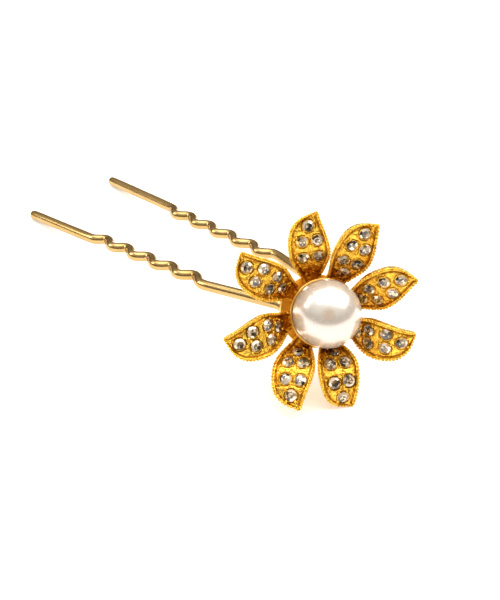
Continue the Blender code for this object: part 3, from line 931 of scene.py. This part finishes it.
class HAIRPIN_OT_stones(bpy.types.Operator):
    """Cut one brilliant and set a copy of it in every seat"""
    bl_idname = "hairpin.stones"
    bl_label = "Stones"

    def execute(self, context):
        crystal = finish_named("foiled_crystal", stone_finish)
        cut = self.cut_brilliant()
        for letter, azimuth, slope, twist, yaw, arch, _, has_base in PETALS:
            sheet = PetalSheet(azimuth, slope, twist, yaw, arch)
            for row, share, side in STONE_ROWS:
                if row == "base" and not has_base:
                    continue
                node = "stone_%s_%s" % (letter, row)
                chance = random.Random(node)
                place = sheet.frame(share * PETAL_LENGTH, side * STONE_SPACING / 2,
                                    PETAL_THICKNESS / 2 - FIELD_DEPTH - STONE_SINK)
                mesh = cut.data.copy()
                mesh.name = node.replace("stone", "brilliant")
                self.tone_facets(mesh, chance)
                stone = bpy.data.objects.new(mesh.name, mesh)
                context.collection.objects.link(stone)
                spin = Matrix.Rotation(chance.uniform(0, math.tau), 4, "Z")
                mesh.transform(FLOWER @ Matrix.Scale(MM, 4) @ place @ spin)
                finish_piece(stone, crystal, "crystal", node)
        drop(cut)
        return {"FINISHED"}

    def cut_brilliant(self):
        """Grind a round blank into a brilliant, facet by facet, girdle at height 0."""
        stone = start_piece("brilliant", bpy.ops.mesh.primitive_cylinder_add, vertices=32,
                            radius=STONE_RADIUS, depth=STONE_CROWN + STONE_PAVILION,
                            location=(0, 0, (STONE_CROWN - STONE_PAVILION) / 2))
        bpy.ops.object.transform_apply(location=True)
        edit(stone)
        main = math.atan2(STONE_CROWN - 0.05, STONE_RADIUS - STONE_TABLE)
        rounds = [(8, 0.0, main, STONE_RADIUS, 0.05),
                  (16, 0.5, main + math.radians(9), STONE_RADIUS, 0.035),
                  (8, 0.5, main - math.radians(15), STONE_TABLE + 0.045, STONE_CROWN),
                  (8, 0.0, math.pi - math.radians(44), STONE_RADIUS, -0.05),
                  (16, 0.5, math.pi - math.radians(50), STONE_RADIUS, -0.04)]
        for count, offset, slope, radius, height in rounds:
            for i in range(count):
                angle = math.tau * (i + offset) / count
                way = Vector((math.cos(angle), math.sin(angle), 0))
                normal = way * math.sin(slope) + Vector((0, 0, math.cos(slope)))
                bpy.ops.mesh.select_all(action="SELECT")
                bpy.ops.mesh.bisect(plane_co=way * radius + Vector((0, 0, height)),
                                    plane_no=normal, use_fill=True, clear_outer=True,
                                    threshold=1e-4)
        pick_faces(stone, lambda middle, normal: normal.z > 0.999 and middle.z > 0.3)
        bpy.ops.mesh.inset(thickness=0.13)
        bpy.ops.mesh.poke()
        close_edit()
        return stone

    def tone_facets(self, mesh, chance):
        """Give each facet its share of returned light, kept on its corners."""
        tones = mesh.attributes.new("facet_tone", "FLOAT", "CORNER")
        lean = chance.uniform(-0.12, 0.12)
        # Painted light: one side of each stone, towards this angle, is painted lighter.
        painted_bright_side = chance.uniform(0, math.tau)
        for facet in mesh.polygons:
            middle = facet.center
            turn = math.cos(math.atan2(middle.y, middle.x) - painted_bright_side)
            in_table = middle.z > STONE_CROWN - 0.03
            # painted reflections: each facet is painted light or dark at random
            tone = chance.choice((0.0, 0.05, 0.15, 0.8) if in_table else (0.0, 0.25, 0.7, 1.0))
            tone = min(1.0, max(0.0, tone + 0.25 * turn + lean))
            for corner in facet.loop_indices:
                tones.data[corner].value = tone


class HAIRPIN_OT_stage(bpy.types.Operator):
    """Lay the floor, hang the soft lights and set the camera"""
    bl_idname = "hairpin.stage"
    bl_label = "Floor, Lights and Camera"

    def execute(self, context):
        colours = context.scene.hair_pin_colours
        floor = start_piece("floor", bpy.ops.mesh.primitive_plane_add,
                            size=FLOOR_SIDE)
        floor.data.materials.append(floor_finish(colours))
        self.set_camera(context)
        for light in LIGHTS:
            self.add_light(*light)
        self.set_surroundings(context)
        context.scene.view_settings.view_transform = "Standard"
        return {"FINISHED"}

    def set_camera(self, context):
        data = bpy.data.cameras.new("view")
        data.sensor_width = 36.0
        data.sensor_fit = "HORIZONTAL"
        data.lens = CAMERA_LENS
        data.clip_start = 0.005
        camera = bpy.data.objects.new("view", data)
        context.collection.objects.link(camera)
        turn = Euler([math.radians(a) for a in CAMERA_TURN]).to_matrix().to_4x4()
        camera.matrix_world = FLOWER @ Matrix.Translation(Vector(CAMERA_PLACE) * MM) @ turn
        context.scene.camera = camera

    def add_light(self, name, offset, wide, high, power):
        """Hang a soft rectangular light that faces the flower, its long side level."""
        data = bpy.data.lights.new(name, "AREA")
        data.shape = "RECTANGLE"
        data.size = wide
        data.size_y = high
        data.energy = power
        data.color = LIGHT_COLOUR
        light = bpy.data.objects.new(name, data)
        bpy.context.collection.objects.link(light)
        back = Vector(offset).normalized()
        across = bpy.context.scene.camera.matrix_world.to_3x3() @ Vector((1, 0, 0))
        up = back.cross(across).normalized()
        turn = Matrix((up.cross(back), up, back)).transposed().to_4x4()
        light.matrix_world = (Matrix.Translation(FLOWER.translation + Vector(offset))
                              @ turn)

    def set_surroundings(self, context):
        """A room that is dim near the horizon, bright overhead and brown round the viewer."""
        world = bpy.data.worlds.new("studio")
        context.scene.world = world
        world.use_nodes = True
        nodes, links = world.node_tree.nodes, world.node_tree.links
        way = nodes.new("ShaderNodeTexCoord")
        split = nodes.new("ShaderNodeSeparateXYZ")
        ramp = nodes.new("ShaderNodeValToRGB")
        links.new(way.outputs["Generated"], split.inputs[0])
        links.new(split.outputs["Z"], ramp.inputs[0])
        towards = nodes.new("ShaderNodeVectorMath")
        towards.operation = "DOT_PRODUCT"
        towards.inputs[1].default_value = context.scene.camera.matrix_world.col[2].xyz
        links.new(way.outputs["Generated"], towards.inputs[0])
        patch = nodes.new("ShaderNodeMapRange")
        patch.interpolation_type = "SMOOTHSTEP"
        patch.inputs["From Min"].default_value = PATCH_EDGE
        patch.inputs["From Max"].default_value = PATCH_CORE
        links.new(towards.outputs["Value"], patch.inputs["Value"])
        blend = nodes.new("ShaderNodeMixRGB")
        blend.inputs["Color2"].default_value = PATCH_COLOUR
        links.new(patch.outputs["Result"], blend.inputs["Fac"])
        links.new(ramp.outputs[0], blend.inputs["Color1"])
        links.new(blend.outputs[0], nodes["Background"].inputs["Color"])
        while len(ramp.color_ramp.elements) < len(ROOM):
            ramp.color_ramp.elements.new(0.5)
        for element, (place, tone) in zip(ramp.color_ramp.elements, ROOM):
            element.position = place
            element.color = tone + (1.0,)


OPERATORS = [HAIRPIN_OT_wire, HAIRPIN_OT_setting, HAIRPIN_OT_pearl, HAIRPIN_OT_petals,
             HAIRPIN_OT_beading, HAIRPIN_OT_stones, HAIRPIN_OT_stage]


class HAIRPIN_PT_panel(bpy.types.Panel):
    """Sizes, colours and pieces of the hair pin"""
    bl_idname = "HAIRPIN_PT_panel"
    bl_label = "Pearl Flower Hair Pin"
    bl_space_type = "VIEW_3D"
    bl_region_type = "UI"
    bl_category = "Hair Pin"

    def draw(self, context):
        for title, group in (("Sizes", context.scene.hair_pin_sizes),
                             ("Colours", context.scene.hair_pin_colours)):
            box = self.layout.box()
            box.label(text=title)
            for key in group.__annotations__:
                box.prop(group, key)
        for operator in OPERATORS:
            self.layout.operator(operator.bl_idname)


CLASSES = [HairPinSizes, HairPinColours] + OPERATORS + [HAIRPIN_PT_panel]


def register():
    for item in CLASSES:
        bpy.utils.register_class(item)
    bpy.types.Scene.hair_pin_sizes = bpy.props.PointerProperty(type=HairPinSizes)
    bpy.types.Scene.hair_pin_colours = bpy.props.PointerProperty(type=HairPinColours)


def unregister():
    del bpy.types.Scene.hair_pin_colours
    del bpy.types.Scene.hair_pin_sizes
    for item in reversed(CLASSES):
        bpy.utils.unregister_class(item)


def main():
    register()
    bpy.ops.hairpin.stage()
    bpy.ops.hairpin.wire()
    bpy.ops.hairpin.setting()
    bpy.ops.hairpin.pearl()
    bpy.ops.hairpin.petals()
    bpy.ops.hairpin.beading()
    bpy.ops.hairpin.stones()
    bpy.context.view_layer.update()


if __name__ == "__main__":
    main()
